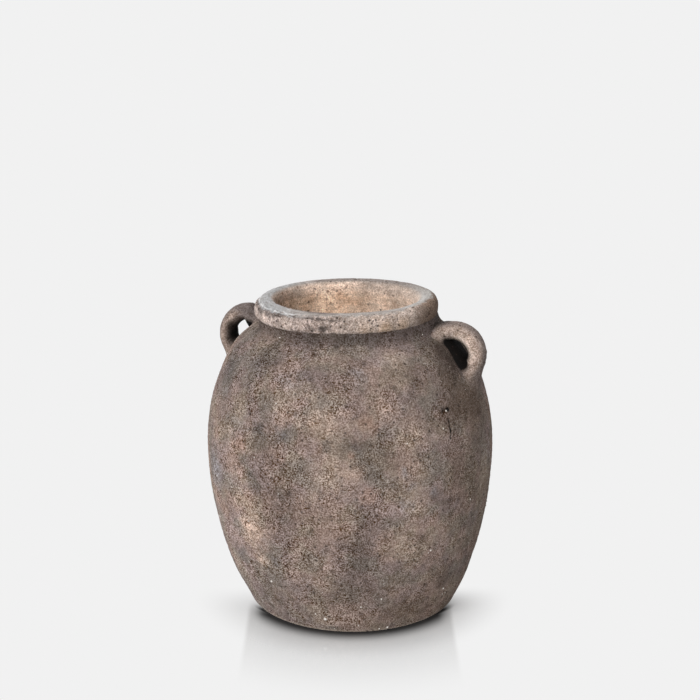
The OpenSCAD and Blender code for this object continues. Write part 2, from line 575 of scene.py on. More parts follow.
def root_rings(ring, inward, spread, fill, fore, crest):
    """Rings that carry the strap's end out onto the wall's face, and one that dives below it.
    The root reaches further by fill on the inner side of the loop and by fore on the front edge,
    and it stands up by crest on the outer side, towards the back."""
    corner = ring.copy()
    for _ in range(tries_onto_face):
        gap, out = face_gap(corner)
        corner += inward * (gap / -(out @ inward))[:, None]
    away = corner - corner.mean(axis=0)
    away -= out * np.sum(away * out, axis=1)[:, None]
    away /= np.linalg.norm(away, axis=1)[:, None]
    inner = np.maximum(0, -np.cos(ring_turn))
    front = np.maximum(0, -np.sin(ring_turn))
    toe = corner + away * (spread + fill * inner + fore * front)[:, None]
    corner += out * crest * np.maximum(0, np.cos(ring_turn - crest_turn))[:, None]
    gap, out = face_gap(toe)
    toe -= out * (gap + toe_sink)[:, None]
    steps = np.linspace(0, 1, root_steps + 1)[1:]
    rings = [(1 - t) ** 2 * ring + 2 * t * (1 - t) * corner + t**2 * toe for t in steps]
    return [off_throat(ring) for ring in rings + [toe - out * root_dive]]


def find_angle(loop_c, start, end, stretch, wanted):
    """Angle round the loop at which the middle of the strap lies the wanted distance from the wall."""
    for _ in range(tries_round_loop):
        half_way = (start + end) / 2
        gap, _ = face_gap(loop_place(loop_c, half_way, stretch)[0][None])
        start, end = (half_way, end) if gap[0] > wanted else (start, half_way)
    return start


# %% Loft a handle
strap_rings = 60
root_blend = 10


def loft(name, rings, root):
    """A closed skin over stacked rings, with a point in the middle of each end; root is a mask per ring."""
    count, around = rings.shape[:2]
    points = np.vstack([rings.reshape(-1, 3), rings[0].mean(axis=0), rings[-1].mean(axis=0)])
    last = (count - 1) * around
    faces = []
    for k in range(around):
        after = (k + 1) % around
        for low in range(0, last, around):
            faces.append((low + k, low + after, low + around + after, low + around + k))
        faces.append((after, k, count * around))
        faces.append((last + k, last + after, count * around + 1))
    piece = new_piece(name, points, faces=faces)
    piece.data.shade_smooth()
    free = np.zeros(len(points))
    free[around:last] = 1
    set_mask(piece, "root", np.append(np.repeat(root, around), (1, 1)))
    set_mask(piece, "free", free)
    return piece


def pull_handle(name, node, side, form, upper, lower):
    """A handle on one side. Its form is (stretch, swell, wedge, thin); upper and lower give the length of
    each root and then what root_rings needs."""
    stretch = form[0]
    low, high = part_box(node)
    loop_c = np.array([max(abs(low.x), abs(high.x)) - loop_out, high.z - loop_out])
    top = find_angle(loop_c, math.pi / 2, math.pi, stretch, upper[0])
    bottom = find_angle(loop_c, 0, -math.pi / 2, stretch, lower[0])
    straps = [strap_ring(loop_c, angle, *form) for angle in np.linspace(top, bottom, strap_rings)]
    middles = [ring.mean(axis=0) for ring in straps]
    top_root = root_rings(straps[0], unit(middles[0] - middles[1]), *upper[1:])
    bottom_root = root_rings(straps[-1], unit(middles[-1] - middles[-2]), *lower[1:])
    rings = np.array(top_root[::-1] + straps + bottom_root)
    if side < 0:
        rings = rings[:, ::-1] * (-1, 1, 1)
    fade_out = np.minimum(1, np.arange(1, len(top_root) + 1) / root_blend)
    root = np.concatenate([fade_out[::-1], np.zeros(len(straps)), fade_out])
    piece = loft(name, rings, root)
    print(name, triangles(piece), "triangles, loop centre in mm", np.round(loop_c / MM, 1))
    return piece, loop_c


# Each root: length, spread, fill, fore and crest in mm, the upper one first.
right_roots = np.array([(5, 8, 4, 14, 3), (7, 9, 4, 10, 0)]) * MM
left_roots = np.array([(7, 4, 4, 4, 0), (5.5, 4, 0, 0, 0)]) * MM
lug_right, loop_right = pull_handle("lug_right", "handle_right", 1, (1.0, 1.18, 0, 0), *right_roots)
lug_left, loop_left = pull_handle("lug_left", "handle_left", -1, (1.36, 1.0, 1.1, 1.3), *left_roots)

# %% [markdown]
# ## A skin that has been through the fire
# The jar is hand-made: its mouth sits a few millimetres off the axis and dips to the left, its foot is
# slightly oval and off the axis too, the wall is never quite round, and the fired skin has dents, grain,
# burst pits and chips. Sculpting that by hand could not be repeated, so one tree moves every point along
# its normal by sums of noise. The same tree runs over all the pieces, and as it only looks at where a
# point is, neighbours move together.

# %% Places on the jar's skin
skin = np.vstack([outside, roll[: np.argmax(roll[:, 1]) + 1]])


def on_skin(turn, height):
    """A point on the outer face: degrees from the front towards the right handle, and height in mm."""
    radius = np.interp(height * MM, skin[:, 1], skin[:, 0])
    angle = math.radians(turn)
    return (radius * math.sin(angle), -radius * math.cos(angle), height * MM)


# Chips and flakes: turn in degrees, then height, radius and depth in mm. A negative depth stands out.
SCARS = [
    (59, 216, 4, 2.0), (2, 288, 6, 1.5), (-6, 290, 3, 0.8), (-38, 297, 3, 1.3), (-31, 295, 3, 1.0),
    (9, 2, 6, 1.6), (-24, 1, 5, 1.2), (40, 2, 6, 1.2), (118, 290, 8, 1.4), (200, 292, 6, 1.2),
    (150, 2, 7, 1.5), (250, 1, 6, 1.4), (170, 120, 5, 1.6), (262, 190, 4, 1.6), (112, 276, 13, -1.5),
]

# %% The weathering as a node tree
mouth_shift = -3.5 * MM
mouth_tilt = 0.015
rim_slope = 0.15
foot_shift = 3.0 * MM
foot_forth = 1.5 * MM
foot_oval = 0.016
groove_h = 298 * MM
groove_depth = 1.1
throwing_ring = 7 * MM
view_right = (math.cos(view_turn), math.sin(view_turn), 0)
view_front = (math.sin(view_turn), -math.cos(view_turn), 0)


def leaned(tree, geometry, at):
    """The foot and the mouth moved off the axis, the mouth dipped to the left and its roll turned out."""
    height = at.height()
    radius = at.radius()
    across = at.along(view_right)
    mouth = height.fade_mm(272, 290) * radius.fade_mm(104, 92)
    left = across.fade_mm(-10, -80)
    rise = mouth * (across * mouth_tilt - left * (radius - rim_c[0]) * rim_slope)
    foot = height.fade_mm(150, 40, 0, 0.5) + height.fade_mm(45, 10, 0, 0.5)
    low = height.fade_mm(30, 5)
    aside = mouth * mouth_shift + foot * foot_shift - low * across * foot_oval
    move = tree.vector("ADD", tree.scaled(view_right, aside), tree.join(0, 0, rise))
    move = tree.vector("ADD", move, tree.scaled(view_front, low * foot_forth))
    return tree.node("GeometryNodeSetPosition", {}, {"Geometry": geometry, "Offset": move})


def scarred(at):
    ragged = at.stray(170, 5 * MM)
    total = 0
    for turn, height, radius, depth in SCARS:
        away = ragged.away(on_skin(turn, height))
        total = total + away.fade_mm(radius, 0.6 * radius, 0, depth)
    return total


def grooved(at):
    """A shallow groove below the rim's outer edge, worn away towards the right."""
    height = at.height()
    radius = at.radius()
    across = at.along(view_right)
    off = height - groove_h + (at.noise(45, 2) - 0.5) * 5 * MM
    line = off.math("ABSOLUTE", off).fade_mm(2.4, 0.4)
    outer = radius.fade(rim_c[0] + 2 * MM, rim_c[0] + 5 * MM)
    return line * outer * across.fade_mm(50, -40)


def weather_tree():
    sizes = {"Lumps": "Float", "Grain": "Float", "Pits": "Float", "Rings": "Float", "Clay": "Material"}
    tree, size = node_group("weathered skin", sizes)
    at = tree.node("GeometryNodeInputPosition")
    free = named(tree, "free")
    lumps = (at.noise(22, 2) - 0.5) * 2 + (at.noise(75, 2) - 0.5)
    grain = (at.noise(300, 3, 0.6) - 0.5) * 2
    wave = at.height() * (TURN / throwing_ring) + at.noise(15, 1) * 9
    nearest, chance = at.cells(110)
    burst = nearest.fade(0.32, 0.1) * chance.fade(0.45, 0.7)
    scar = scarred(at) + grooved(at) * groove_depth
    rings = wave.math("SINE", wave) * size["Rings"]
    relief = lumps * size["Lumps"] + grain * size["Grain"] + rings
    depth = (relief - burst * size["Pits"] - scar * MM) * free
    push = tree.scaled(tree.node("GeometryNodeInputNormal"), depth)
    shell = leaned(tree, size["Geometry"], at)
    shell = tree.node("GeometryNodeSetPosition", {}, {"Geometry": shell, "Offset": push})
    shell = store(tree, shell, "pit", burst * free)
    shell = store(tree, shell, "scar", scar * free)
    return end_tree(tree, shell, size["Clay"])


weather = weather_tree()

# %% [markdown]
# ## Clay as a material
# Seen close, the clay is a brown-grey skin full of dark pinholes with paler grit between them, stained by
# smoke and dusted with lime. One flat colour with noise would look like plastic, so the material is
# layered the way the surface is: clay body, broad mottling, stains at their own places, then the fine
# pinholes, and last a bump from the same pinholes so that light and colour agree.


# %% Starting a clay material
def rgb(red, green, blue):
    return (red, green, blue, 1)


bump_depth = 1.0 * MM
PINHOLE = rgb(0.04, 0.027, 0.022)
# Near black for cracks and for painted shade.
SHADE_AND_CRACK_BLACK = rgb(0.006, 0.005, 0.0045)


def clay_material(name):
    material = bpy.data.materials.new(name)
    material.use_nodes = True
    material.node_tree.nodes.clear()
    tree = Tree(material.node_tree)
    at = tree.node("ShaderNodeTexCoord", {}, {}, "Object")
    return material, tree, at


def mask(tree, name):
    return tree.node("ShaderNodeAttribute", {"attribute_name": name}, {}, "Fac")


def fire(tree, colour, height, depth=bump_depth):
    """The clay's shader: matte, with a bump of the given height."""
    bump = tree.node("ShaderNodeBump", {}, {"Strength": 1, "Distance": depth, "Height": height})
    matte = {"Roughness": 0.95, "Diffuse Roughness": 1, "Specular IOR Level": 0.15}
    shader = tree.node("ShaderNodeBsdfPrincipled", {}, {"Base Color": colour, "Normal": bump, **matte})
    tree.node("ShaderNodeOutputMaterial", {}, {"Surface": shader})


# %% Sand, pits and mottling
def sanded(at):
    """Fine sand between 0 and 1, and the burst pits in it, which the colour and the bump share."""
    sand = at.noise(760, 1, 0.6) + (at.noise(170, 2, 0.6) - 0.5) * 0.3
    nearest, chance = at.stray(600, 1.5 * MM, 1).cells(180)
    return sand, nearest.fade(0.26, 0.12) * chance.fade(0.2, 0.7)


def speckled(tree, colour, sand, strength):
    """The colour made darker and browner in the hollows of the sand, paler and greyer on its grains."""
    grains = sand.fade(0.45, 0.65, -0.36, 0.56)
    hollows = sand.fade(0.44, 0.30, 0, 0.44)
    shift = tree.scaled((0.88, 1.0, 1.12), (grains - hollows) * strength)
    return tree.vector("MULTIPLY", colour, tree.vector("ADD", shift, (1.18, 1.195, 1.205)))


def mottled(tree, at, colour):
    """The colour made lighter and darker in patches of three sizes."""
    light = at.noise(18, 2) + at.noise(55, 3, 0.6) * 0.7 + at.noise(150, 2) * 0.5
    return tree.scaled(colour, light - 0.1)


# %% Stains, painted light and painted shade at their places
def stains(at, places):
    """Soft round marks, for stains and for painted light and shade, each given by its turn in degrees,
    height and radius in mm, and strength.
    """
    total = 0
    for turn, height, radius, strength in places:
        total = total + at.away(on_skin(turn, height)).fade_mm(radius, 0, 0, strength)
    return total


# Smoke stains; those round and below the right handle are painted shade.
SMOKE_AND_SHADE = [
    (-8, 200, 14, 0.7), (-20, 201, 13, 0.6), (-31, 233, 13, 0.6), (-2, 251, 14, 0.45), (9, 194, 8, 0.6),
    (-22, 158, 10, 0.6), (-7, 143, 20, 0.5), (-14, 74, 9, 0.7), (-35, 68, 14, 0.6), (8, 94, 9, 0.6),
    (21, 100, 24, 1.0), (22, 123, 18, 0.8), (-2, 13, 9, 0.5), (21, 196, 9, 0.7), (23, 168, 8, 0.5),
    (48, 99, 12, 0.7), (64, 44, 14, 0.8), (46, 22, 24, 0.8), (32, 11, 11, 0.6), (-27, 258, 30, 0.6),
    (74, 218, 42, 1.2), (64, 248, 34, 0.8), (84, 205, 40, 0.8), (-53, 235, 42, 0.7), (18, 52, 34, 0.7),
    (-18, 196, 28, 0.5), (65, 240, 20, 0.5), (-16, 221, 24, 0.35), (62, 215, 26, 0.8),
    (50, 246, 22, 0.5), (59, 162, 18, 0.6), (-43, 206, 28, 0.6), (-10, 195, 18, 0.4), (2, 82, 20, 0.6),
    (18, 79, 20, 0.4), (37, 24, 18, 0.5), (150, 200, 40, 0.8), (190, 90, 50, 0.9), (235, 230, 36, 0.8),
    (262, 130, 40, 0.7), (120, 60, 36, 0.8), (18, 250, 18, 0.25), (67, 240, 16, 0.3),
    (-26, 215, 18, 0.3), (-39, 180, 18, 0.3), (75, 175, 24, 0.7), (66, 156, 24, 0.6),
    (62, 178, 20, 0.4), (55, 14, 16, 0.3), (58, 267, 14, 0.3),
]
LIME = [
    (-24, 99, 26, 0.9), (-26, 132, 20, 0.5), (-22, 70, 13, 0.8), (41, 266, 20, 0.4), (45, 139, 20, 0.4),
    (3, 144, 16, 0.4), (33, 222, 20, 0.35), (9, 213, 26, 0.6), (-8, 226, 26, 0.3), (20, 170, 16, 0.5),
    (12, 166, 34, 0.35), (45, 206, 30, 0.4), (39, 92, 16, 0.35), (42, 165, 26, 0.3),
    (165, 150, 30, 0.6), (215, 180, 26, 0.7), (245, 70, 24, 0.6), (110, 120, 28, 0.5),
    (140, 40, 18, 0.5), (84, 82, 22, 0.2), (-19, 14, 14, 0.15),
]
ROSE = [
    (-30, 182, 16, 0.8), (25, 212, 15, 0.8), (18, 187, 8, 0.8), (25, 149, 14, 0.6), (-26, 105, 16, 0.6),
    (180, 210, 20, 0.7), (225, 120, 22, 0.6), (95, 160, 18, 0.6),
]
# Bluish-grey stains; the large one on the left edge is a painted cool edge light.
BLUE_AND_EDGE_LIGHT = [
    (-12, 246, 14, 0.5), (-48, 144, 30, 0.9), (39, 168, 9, 0.8), (42, 155, 12, 0.7), (51, 144, 10, 0.6),
    (40, 136, 10, 0.7), (21, 253, 14, 0.5), (170, 240, 24, 0.7), (250, 160, 26, 0.5),
    (130, 150, 20, 0.6),
]
# Painted shade: black in the loops of the handles and round the roots of the right one, and in the burst
# pit.
SHADE = [
    (88, 262, 22, 4.0), (86, 251, 22, 4.0), (74, 262, 32, 0.75), (75, 244, 22, 0.5), (66, 270, 14, 0.2),
    (82, 279, 12, 0.5), (61, 216.5, 3.5, 1.6), (-90, 258, 26, 1.6),
]
# Cracks, each from one turn and height to another.
CRACKS = [
    ((60.5, 206), (60.5, 197)), ((60.5, 197), (60, 190)), ((171, 120), (176, 96)),
    ((176, 96), (174, 80)),
]

print("stains:", *(len(places) for places in (SMOKE_AND_SHADE, LIME, ROSE, BLUE_AND_EDGE_LIGHT, SHADE)), "and cracks:", len(CRACKS))


# %% Cracks
def from_line(tree, at, start, end):
    """Distance from the straight line between two places."""
    way = np.subtract(end, start)
    apart = tree.vector("SUBTRACT", at, start)
    share = apart.along(tuple(way / (way @ way)))
    share = share.math("MINIMUM", share.math("MAXIMUM", share, 0), 1)
    return apart.away(tree.scaled(tuple(way), share))


def cracked(tree, at):
    ragged = at.stray(260, 4 * MM, 2)
    total = 0
    for start, end in CRACKS:
        total = total + from_line(tree, ragged, on_skin(*start), on_skin(*end)).fade_mm(1.3, 0.3)
    return total * at.noise(260, 2).fade(0.35, 0.6, 0.3, 1)


# %% [markdown]
# ## The body's clay
# The wall carries most of the story. Its clay runs from umber to a rosy brown, smoke has greyed the
# shoulder and the lime of the ground has dried on the lower belly. Shade is painted black in the loops of
# the handles and darker round the right one, in the crease under the rim and towards the foot, and a cool
# edge light is painted on the left. The inside was never smoked, so it kept the tan of the raw clay.


# %% Mix the body's skin
def body_skin(tree, at):
    """The outer skin before its grain: the clay's own hues, stains with a painted edge light among them,
    then smoke and painted shade.
    """
    astray = at.stray(70, 26 * MM, 4)
    height = astray.height()
    tan_share = at.noise(26, 3).fade(0.4, 0.6)
    tan = tan_share.mix(rgb(0.235, 0.19, 0.175), rgb(0.31, 0.23, 0.185))
    earth_share = at.noise(41, 3).fade(0.4, 0.6)
    earth = earth_share.mix(rgb(0.295, 0.21, 0.19), rgb(0.25, 0.212, 0.17))
    shoulder = height.fade_mm(225, 272, 0, 0.15)
    # Painted shade, darker towards the foot.
    foot = height.fade_mm(100, 20, 0, 0.3)
    brown = (at.along(view_right) - height * 0.3).fade_mm(-110, 50)
    # One dark colour for smoke and for painted shade, browner to the right and below.
    smoke_and_shade = brown.mix(rgb(0.108, 0.096, 0.094), rgb(0.132, 0.096, 0.076))
    colour = tan.layered([
        (0.45, earth),
        (stains(astray, BLUE_AND_EDGE_LIGHT), rgb(0.275, 0.25, 0.255)),
        (stains(astray, ROSE), rgb(0.37, 0.25, 0.20)),
        (stains(astray, LIME), rgb(0.56, 0.42, 0.34)),
        (stains(astray, SMOKE_AND_SHADE) * 0.8 + shoulder + foot, smoke_and_shade),
    ])
    return mottled(tree, at, colour)


# %% Mix the raw clay of the inside
def inside_clay(tree, at, sand):
    """Raw clay of the throat and the inside: wiped in streaks, browner to the left, flecked with rust."""
    height = at.height()
    across = at.along(view_right)
    wiped = at.noise(60, 4, 0.6).fade(0.35, 0.65)
    streak = tree.vector("MULTIPLY", at, (1, 1, 7)).noise(45, 3, 0.6)
    off = across + 24 * MM
    pale = off.math("ABSOLUTE", off).fade_mm(34, 8, 0, 0.2)
    raw = wiped.mix(rgb(0.58, 0.40, 0.28), rgb(0.74, 0.57, 0.44)).layered([
        (height.fade_mm(284, 297, 0, 0.7), rgb(0.66, 0.55, 0.48)),
        (across.fade_mm(-5, 30, 0, 0.38), rgb(0.40, 0.33, 0.29)),
        (across.fade_mm(-48, -66, 0, 0.38), rgb(0.32, 0.19, 0.12)),
    ])
    raw = tree.scaled(raw, 0.93 + pale + (streak - 0.5) * 1.1)
    flecked = across.fade_mm(20, -20, 0.3, 0.8)
    for scale, common in ((170, 0.55), (330, 0.45)):
        nearest, chance = at.stray(500, 2.5 * MM, 1).cells(scale)
        rust = nearest.fade(0.4, 0.15) * chance.fade(common, 0.85) * flecked
        raw = rust.mix(raw, rgb(0.22, 0.125, 0.08))
    return speckled(tree, mottled(tree, at, raw), sand, 0.5)


# %% Mix the body's clay
def body_clay():
    material, tree, at = clay_material("body_clay")
    sand, burst = sanded(at)
    height = at.height()
    crack = cracked(tree, at)
    # Painted shade: darker in the crease under the rim.
    neck_shade = (height + (at.noise(200, 3) - 0.5) * 12 * MM).fade_mm(266, 279, 0, 0.7)
    coarse = at.noise(50, 3, 0.6).fade(0.35, 0.65, 0.68, 1.33)
    # Painted light: the grain's contrast is stronger on the left, where the light falls.
    coarse = coarse * at.along(view_right).fade_mm(70, -90, 0.95, 1.2)
    worn = (height + (at.noise(300, 2) - 0.5) * 6 * MM).fade_mm(2.5, 1, 0, 0.4)
    colour = neck_shade.mix(body_skin(tree, at), rgb(0.07, 0.055, 0.05))
    colour = speckled(tree, colour, sand, coarse).layered([
        # Painted shade at the SHADE places in near black; cracks are dark lines, and chips are painted
        # darker as shade.
        (stains(at, SHADE), SHADE_AND_CRACK_BLACK),
        (worn, rgb(0.50, 0.42, 0.36)),
        (crack + mask(tree, "scar") * 0.4, SHADE_AND_CRACK_BLACK),
        (mask(tree, "inner"), inside_clay(tree, at, sand)),
        (burst * 0.7 + mask(tree, "pit") * 0.5, PINHOLE),
    ])
    fire(tree, colour, sand - burst * 0.5 - crack)
    return material


# %% [markdown]
# ## The rim's clay
# The rim is the part that gets touched: its top is worn to a smooth pale grey, with a highlight painted
# on its worn outer edge at the left, its front is rosy and pitted where the skin has flaked, and its right
# side is smoked brown. Shade is painted behind, in the chips and the groove, and at the neck below the
# roll.
# Side and top are mixed apart and joined along a ragged line, because wear doesn't follow the edges of a
# mesh.


# %% Places on the rim
RIM_DARK = [
    (2, 285, 6, 0.5), (-5, 289, 4, 0.8), (3, 293, 8, 0.35), (-50, 295, 12, 0.6), (-38, 297, 9, 0.4),
    (74, 300, 10, 0.4),
]
RIM_PALE = [(-46, 287, 12, 0.8), (-24, 288, 12, 0.7), (-22, 293, 9, 0.4), (14, 290, 12, 0.3)]
RIM_TAN = [(40, 288, 12, 0.8), (52, 289, 12, 0.8), (27, 288, 10, 0.4)]
RIM_SMOKED = [(-2, 302, 26, 0.9)]


def rim_places(tree, at):
    """Where a point of the rim lies: how high, how far out from the roll's middle, how far right and so
    on. All are led astray a little, so that what they bound gets a ragged edge."""
    astray = at.stray(120, 8 * MM, 3)
    centred = tree.vector("SUBTRACT", astray, tuple(mouth_shift * c for c in view_right))
    out = centred.radius() - rim_c[0]
    across = astray.along(view_right)
    toward = astray.along(view_front)
    # far marks the back of the roll, but not its left end; shade is painted there.
    far = toward.fade_mm(10, -60) * across.fade_mm(-55, -25)
    right = across.fade_mm(35, 65)
    return SimpleNamespace(
        astray=astray, level=centred.height(), out=out, across=across, toward=toward, far=far, right=right
    )


def streaks(tree, at):
    """Noise drawn out along the rim, as a wiping finger leaves it."""
    x, y, height = at.parts()
    flat = tree.join(x, y, 0)
    way = tree.scaled(tree.vector("NORMALIZE", flat), 20 * MM)
    lanes = tree.join(0, 0, flat.length() - height)
    return tree.vector("ADD", way, lanes).noise(420, 3, 0.6)


# %% Mix the rim's side and top
def rim_side(flakes, spot):
    """The roll's side: rosy and flaked in front, smoked on the right, with painted shade behind, in a
    groove and by the neck.
    """
    left = spot.across.fade_mm(0, -60)
    rough = flakes.fade(0.36, 0.6).mix(rgb(0.27, 0.21, 0.185), rgb(0.60, 0.49, 0.44))
    even = flakes.fade(0.3, 0.7).mix(rgb(0.385, 0.31, 0.265), rgb(0.49, 0.405, 0.355))
    # Painted shade in a groove below the top's edge, on the left.
    groove = spot.level.fade_mm(292, 295) * spot.level.fade_mm(299, 297)
    groove = groove * spot.across.fade_mm(-30, -75) * flakes.fade(0.62, 0.42, 0.35, 0.95)
    return spot.across.fade_mm(10, -35, 0.15, 1).mix(even, rough).layered([
        (groove, rgb(0.15, 0.125, 0.115)),
        (spot.across.fade_mm(52, 74, 0, 0.92), rgb(0.175, 0.119, 0.087)),
        # Painted shade on the side behind, and dark by the neck below the roll.
        (spot.far * spot.out.fade_mm(8, 5, 0, 0.9), rgb(0.17, 0.137, 0.122)),
        (spot.level.fade_mm(286.5, 284, 0, 0.85) * (1 - left * 0.6), rgb(0.09, 0.07, 0.06)),
        (stains(spot.astray, RIM_PALE), rgb(0.62, 0.51, 0.45)),
        (stains(spot.astray, RIM_TAN), rgb(0.54, 0.39, 0.275)),
        (stains(spot.astray, RIM_DARK), rgb(0.12, 0.095, 0.08)),
    ])


def rim_top(drawn, spot):
    """The worn top, wiped in streaks: brownish in front, bluish on the left and pale on the right."""
    brownish = drawn.mix(rgb(0.25, 0.222, 0.205), rgb(0.44, 0.403, 0.38))
    bluish = drawn.mix(rgb(0.27, 0.265, 0.26), rgb(0.42, 0.42, 0.425))
    pale = drawn.mix(rgb(0.34, 0.32, 0.305), rgb(0.50, 0.48, 0.46))
    smoked = stains(spot.astray, RIM_SMOKED) * spot.out.fade_mm(4, 1)
    return brownish.layered([
        (spot.across.fade_mm(-45, -68), bluish),
        (spot.right, pale),
        (smoked, rgb(0.15, 0.125, 0.115)),
    ])


# %% Mix the rim's clay
def rim_clay():
    material, tree, at = clay_material("rim_clay")
    sand, burst = sanded(at)
    spot = rim_places(tree, at)
    inner = mask(tree, "inner")
    flakes = at.noise(240, 3, 0.65)
    drawn = streaks(tree, at).fade(0.3, 0.7)
    ragged = flakes - 0.5 + spot.right * spot.toward.fade_mm(0, 30, 0.3, 0.8)
    # The worn top is less pale behind, as painted shade.
    worn = (spot.out + ragged * 5 * MM).fade_mm(8, 4.5) * (1 - spot.far * 0.65)
    # A pale worn arris on the left, painted near white as a highlight.
    worn_arris_highlight = spot.out.fade_mm(3.5, 5.5) * spot.out.fade_mm(9, 7.5)
    worn_arris_highlight = worn_arris_highlight * spot.level.fade_mm(296, 298) * spot.across.fade_mm(-35, -60)
    worn_arris_highlight = worn_arris_highlight * (drawn + flakes * 0.6).fade(0.45, 0.9)
    # Chips and the groove below the outer edge are painted dark as shade.
    scar_shade = mask(tree, "scar").fade(0.3, 1.2) * (1 - worn)
    scar_shade = scar_shade * flakes.fade(0.62, 0.42, 0.2, 0.95)
    nearest, chance = at.stray(600, 1.5 * MM, 1).cells(260)
    pits = burst + nearest.fade(0.3, 0.12) * chance.fade(0.3, 0.8) * (1 - inner * 0.7)
    colour = speckled(tree, mottled(tree, at, rim_side(flakes, spot)), sand, 0.7)
    colour = colour.layered([
        (worn * 0.9, speckled(tree, rim_top(drawn, spot), sand, 0.3)),
        (worn_arris_highlight * 0.9, rgb(0.78, 0.77, 0.77)),
        (scar_shade, rgb(0.10, 0.08, 0.07)),
        (inner, inside_clay(tree, at, sand)),
        (pits * (1 - worn * 0.8) * 0.85, PINHOLE),
    ])
    fire(tree, colour, (sand + flakes - pits * 0.5) * (1 - worn * 0.7))
    return material


# %% [markdown]
# ## The clay of the handles and the floor
# The handles are the same clay as the body. A highlight is painted on the inner half of the top of the
# right loop, shade on the outer edge of each strap and on the left one towards the wall, and black shade
# within the loops, round the right one's roots and by the neck. Paint that follows each strap is easiest
# from the middle of its loop, so the places are measured from there. The floor is the inside's raw clay.


# %% Mix the clay of the handles
def handle_places(tree, at):
    """Where a point lies on its handle: its side, and how high over and far from the loop's middle."""
    x, _, z = at.parts()
    right = x.fade_mm(-1, 1)
    rise = z - (loop_left[1] + right * (loop_right[1] - loop_left[1]))
    reach = tree.join(x.math("ABSOLUTE", x) - loop_right[0], 0, rise).length()
    upper = rise.fade_mm(-16, 6) * right
    return SimpleNamespace(x=x, right=right, rise=rise, reach=reach, past=reach - loop_r, upper=upper)


def handle_shade(tree, at, spot):
    """Painted shade within the loop, round the roots and by the neck."""
    root = mask(tree, "root")
    hidden = spot.rise.fade_mm(14, 2, 3.5 * MM, 1.5 * MM)
    hidden = hidden - spot.x.fade_mm(-123, -114, 0, 5 * MM)
    lower = spot.rise.fade_mm(4, -12, 0.5 * MM, 3.5 * MM)
    edge = loop_r - 5 * MM + hidden * (1 - spot.right) - lower * spot.right
    within = (spot.reach - edge).fade_mm(4, -2.5) * (1 - root)
    shaded = spot.past.fade_mm(3, -4)
    shaded = shaded.math("MAXIMUM", shaded, spot.x.fade_mm(98, 88) * spot.right)
    round_root = stains(at, SHADE) * root * shaded * spot.rise.fade_mm(-16, -7)
    by_neck = spot.x.fade_mm(103, 95) * spot.past.fade_mm(6, 10.5, 0, 0.85)
    return within + round_root + by_neck * spot.rise.fade_mm(5, 12) * spot.right


def handle_clay():
    material, tree, at = clay_material("handle_clay")
    sand, burst = sanded(at)
    spot = handle_places(tree, at)
    # Painted shade on the strap's outer edge, which turns away from the light.
    outer = spot.past.fade_mm(1 + spot.upper * 2.5, 7.5 + spot.upper, 0, 0.85)
    # Painted shade on the left handle towards the wall.
    wall_side_shade = spot.x.fade_mm(-120, -103, 0, 0.95) * (1 - spot.right)
    # A painted highlight on the inner half of the right loop's top.
    painted_highlight = spot.past.fade_mm(5, -4, 0, 0.6) * spot.upper * spot.x.fade_mm(98, 112, 0.2, 1)
    # The right handle is made lighter, and along the top of its loop light and shade are painted: darker by
    # the wall, lighter outwards.
    light = 0.66 + spot.right * 0.14 + spot.upper * spot.x.fade_mm(100, 118, -0.1, 0.2)
    patches = at.noise(60, 3).fade(0.4, 0.6)
    colour = patches.mix(rgb(0.465, 0.355, 0.30), rgb(0.65, 0.515, 0.435))
    colour = tree.scaled(colour, light).layered([
        (painted_highlight, rgb(0.72, 0.595, 0.515)),
        (outer + wall_side_shade, rgb(0.16, 0.13, 0.12)),
    ])
    colour = mask(tree, "root").mix(mottled(tree, at, colour), body_skin(tree, at))
    colour = speckled(tree, colour, sand, 0.75).layered([
        (burst * 0.7, PINHOLE),
        (handle_shade(tree, at, spot), SHADE_AND_CRACK_BLACK),
    ])
    fire(tree, colour, sand - burst * 0.5)
    return material


# %% Mix the clay of the floor
def floor_clay():
    material, tree, at = clay_material("floor_clay")
    sand, burst = sanded(at)
    colour = (burst * 0.7).mix(inside_clay(tree, at, sand), PINHOLE)
    fire(tree, colour, sand - burst * 0.5)
    return material


# %% Fire the pieces
def finish(piece, node, clay, lumps, grain, pits, rings=0.0):
    """Weathers a piece, gives it its clay and sets it in the frame; depths in mm."""
    depths = {"Lumps": lumps * MM, "Grain": grain * MM, "Pits": pits * MM, "Rings": rings * MM}
    grow(piece, weather, {**depths, "Clay": clay})
    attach(piece, "root")
    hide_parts(node)
    print(piece.name, "fired:", triangles(piece), "triangles")


lug_clay = handle_clay()
finish(jar_wall, "wall", body_clay(), 0.7, 0.3, 0.8, 0.1)
finish(jar_rim, "rim", rim_clay(), 0.6, 0.25, 0.6)
finish(jar_floor, "floor", floor_clay(), 0.5, 0.2, 0.3)
finish(lug_right, "handle_right", lug_clay, 0.5, 0.25, 0.5)
finish(lug_left, "handle_left", lug_clay, 0.5, 0.25, 0.5)

# %% [markdown]
# ## Grit in the clay
# The clay was tempered with crushed shell and lime, and where the skin has worn thin the grains stand
# out as white specks. Placing them one by one would never look random, so a tree scatters points on
# the wall's outside and sets a tiny, unevenly squashed ball on each, most of them small and a few large.
# The few flecks that catch the eye are larger, and each is set at its own place.


# %% Scatter the grit
def random_value(tree, kind, low, high, seed):
    first = {"FLOAT": 2, "FLOAT_VECTOR": 0}[kind]
    out = {"FLOAT": 1, "FLOAT_VECTOR": 0}[kind]
    sockets = {first: low, first + 1: high, "Seed": seed}
    return tree.node("FunctionNodeRandomValue", {"data_type": kind}, sockets, out)


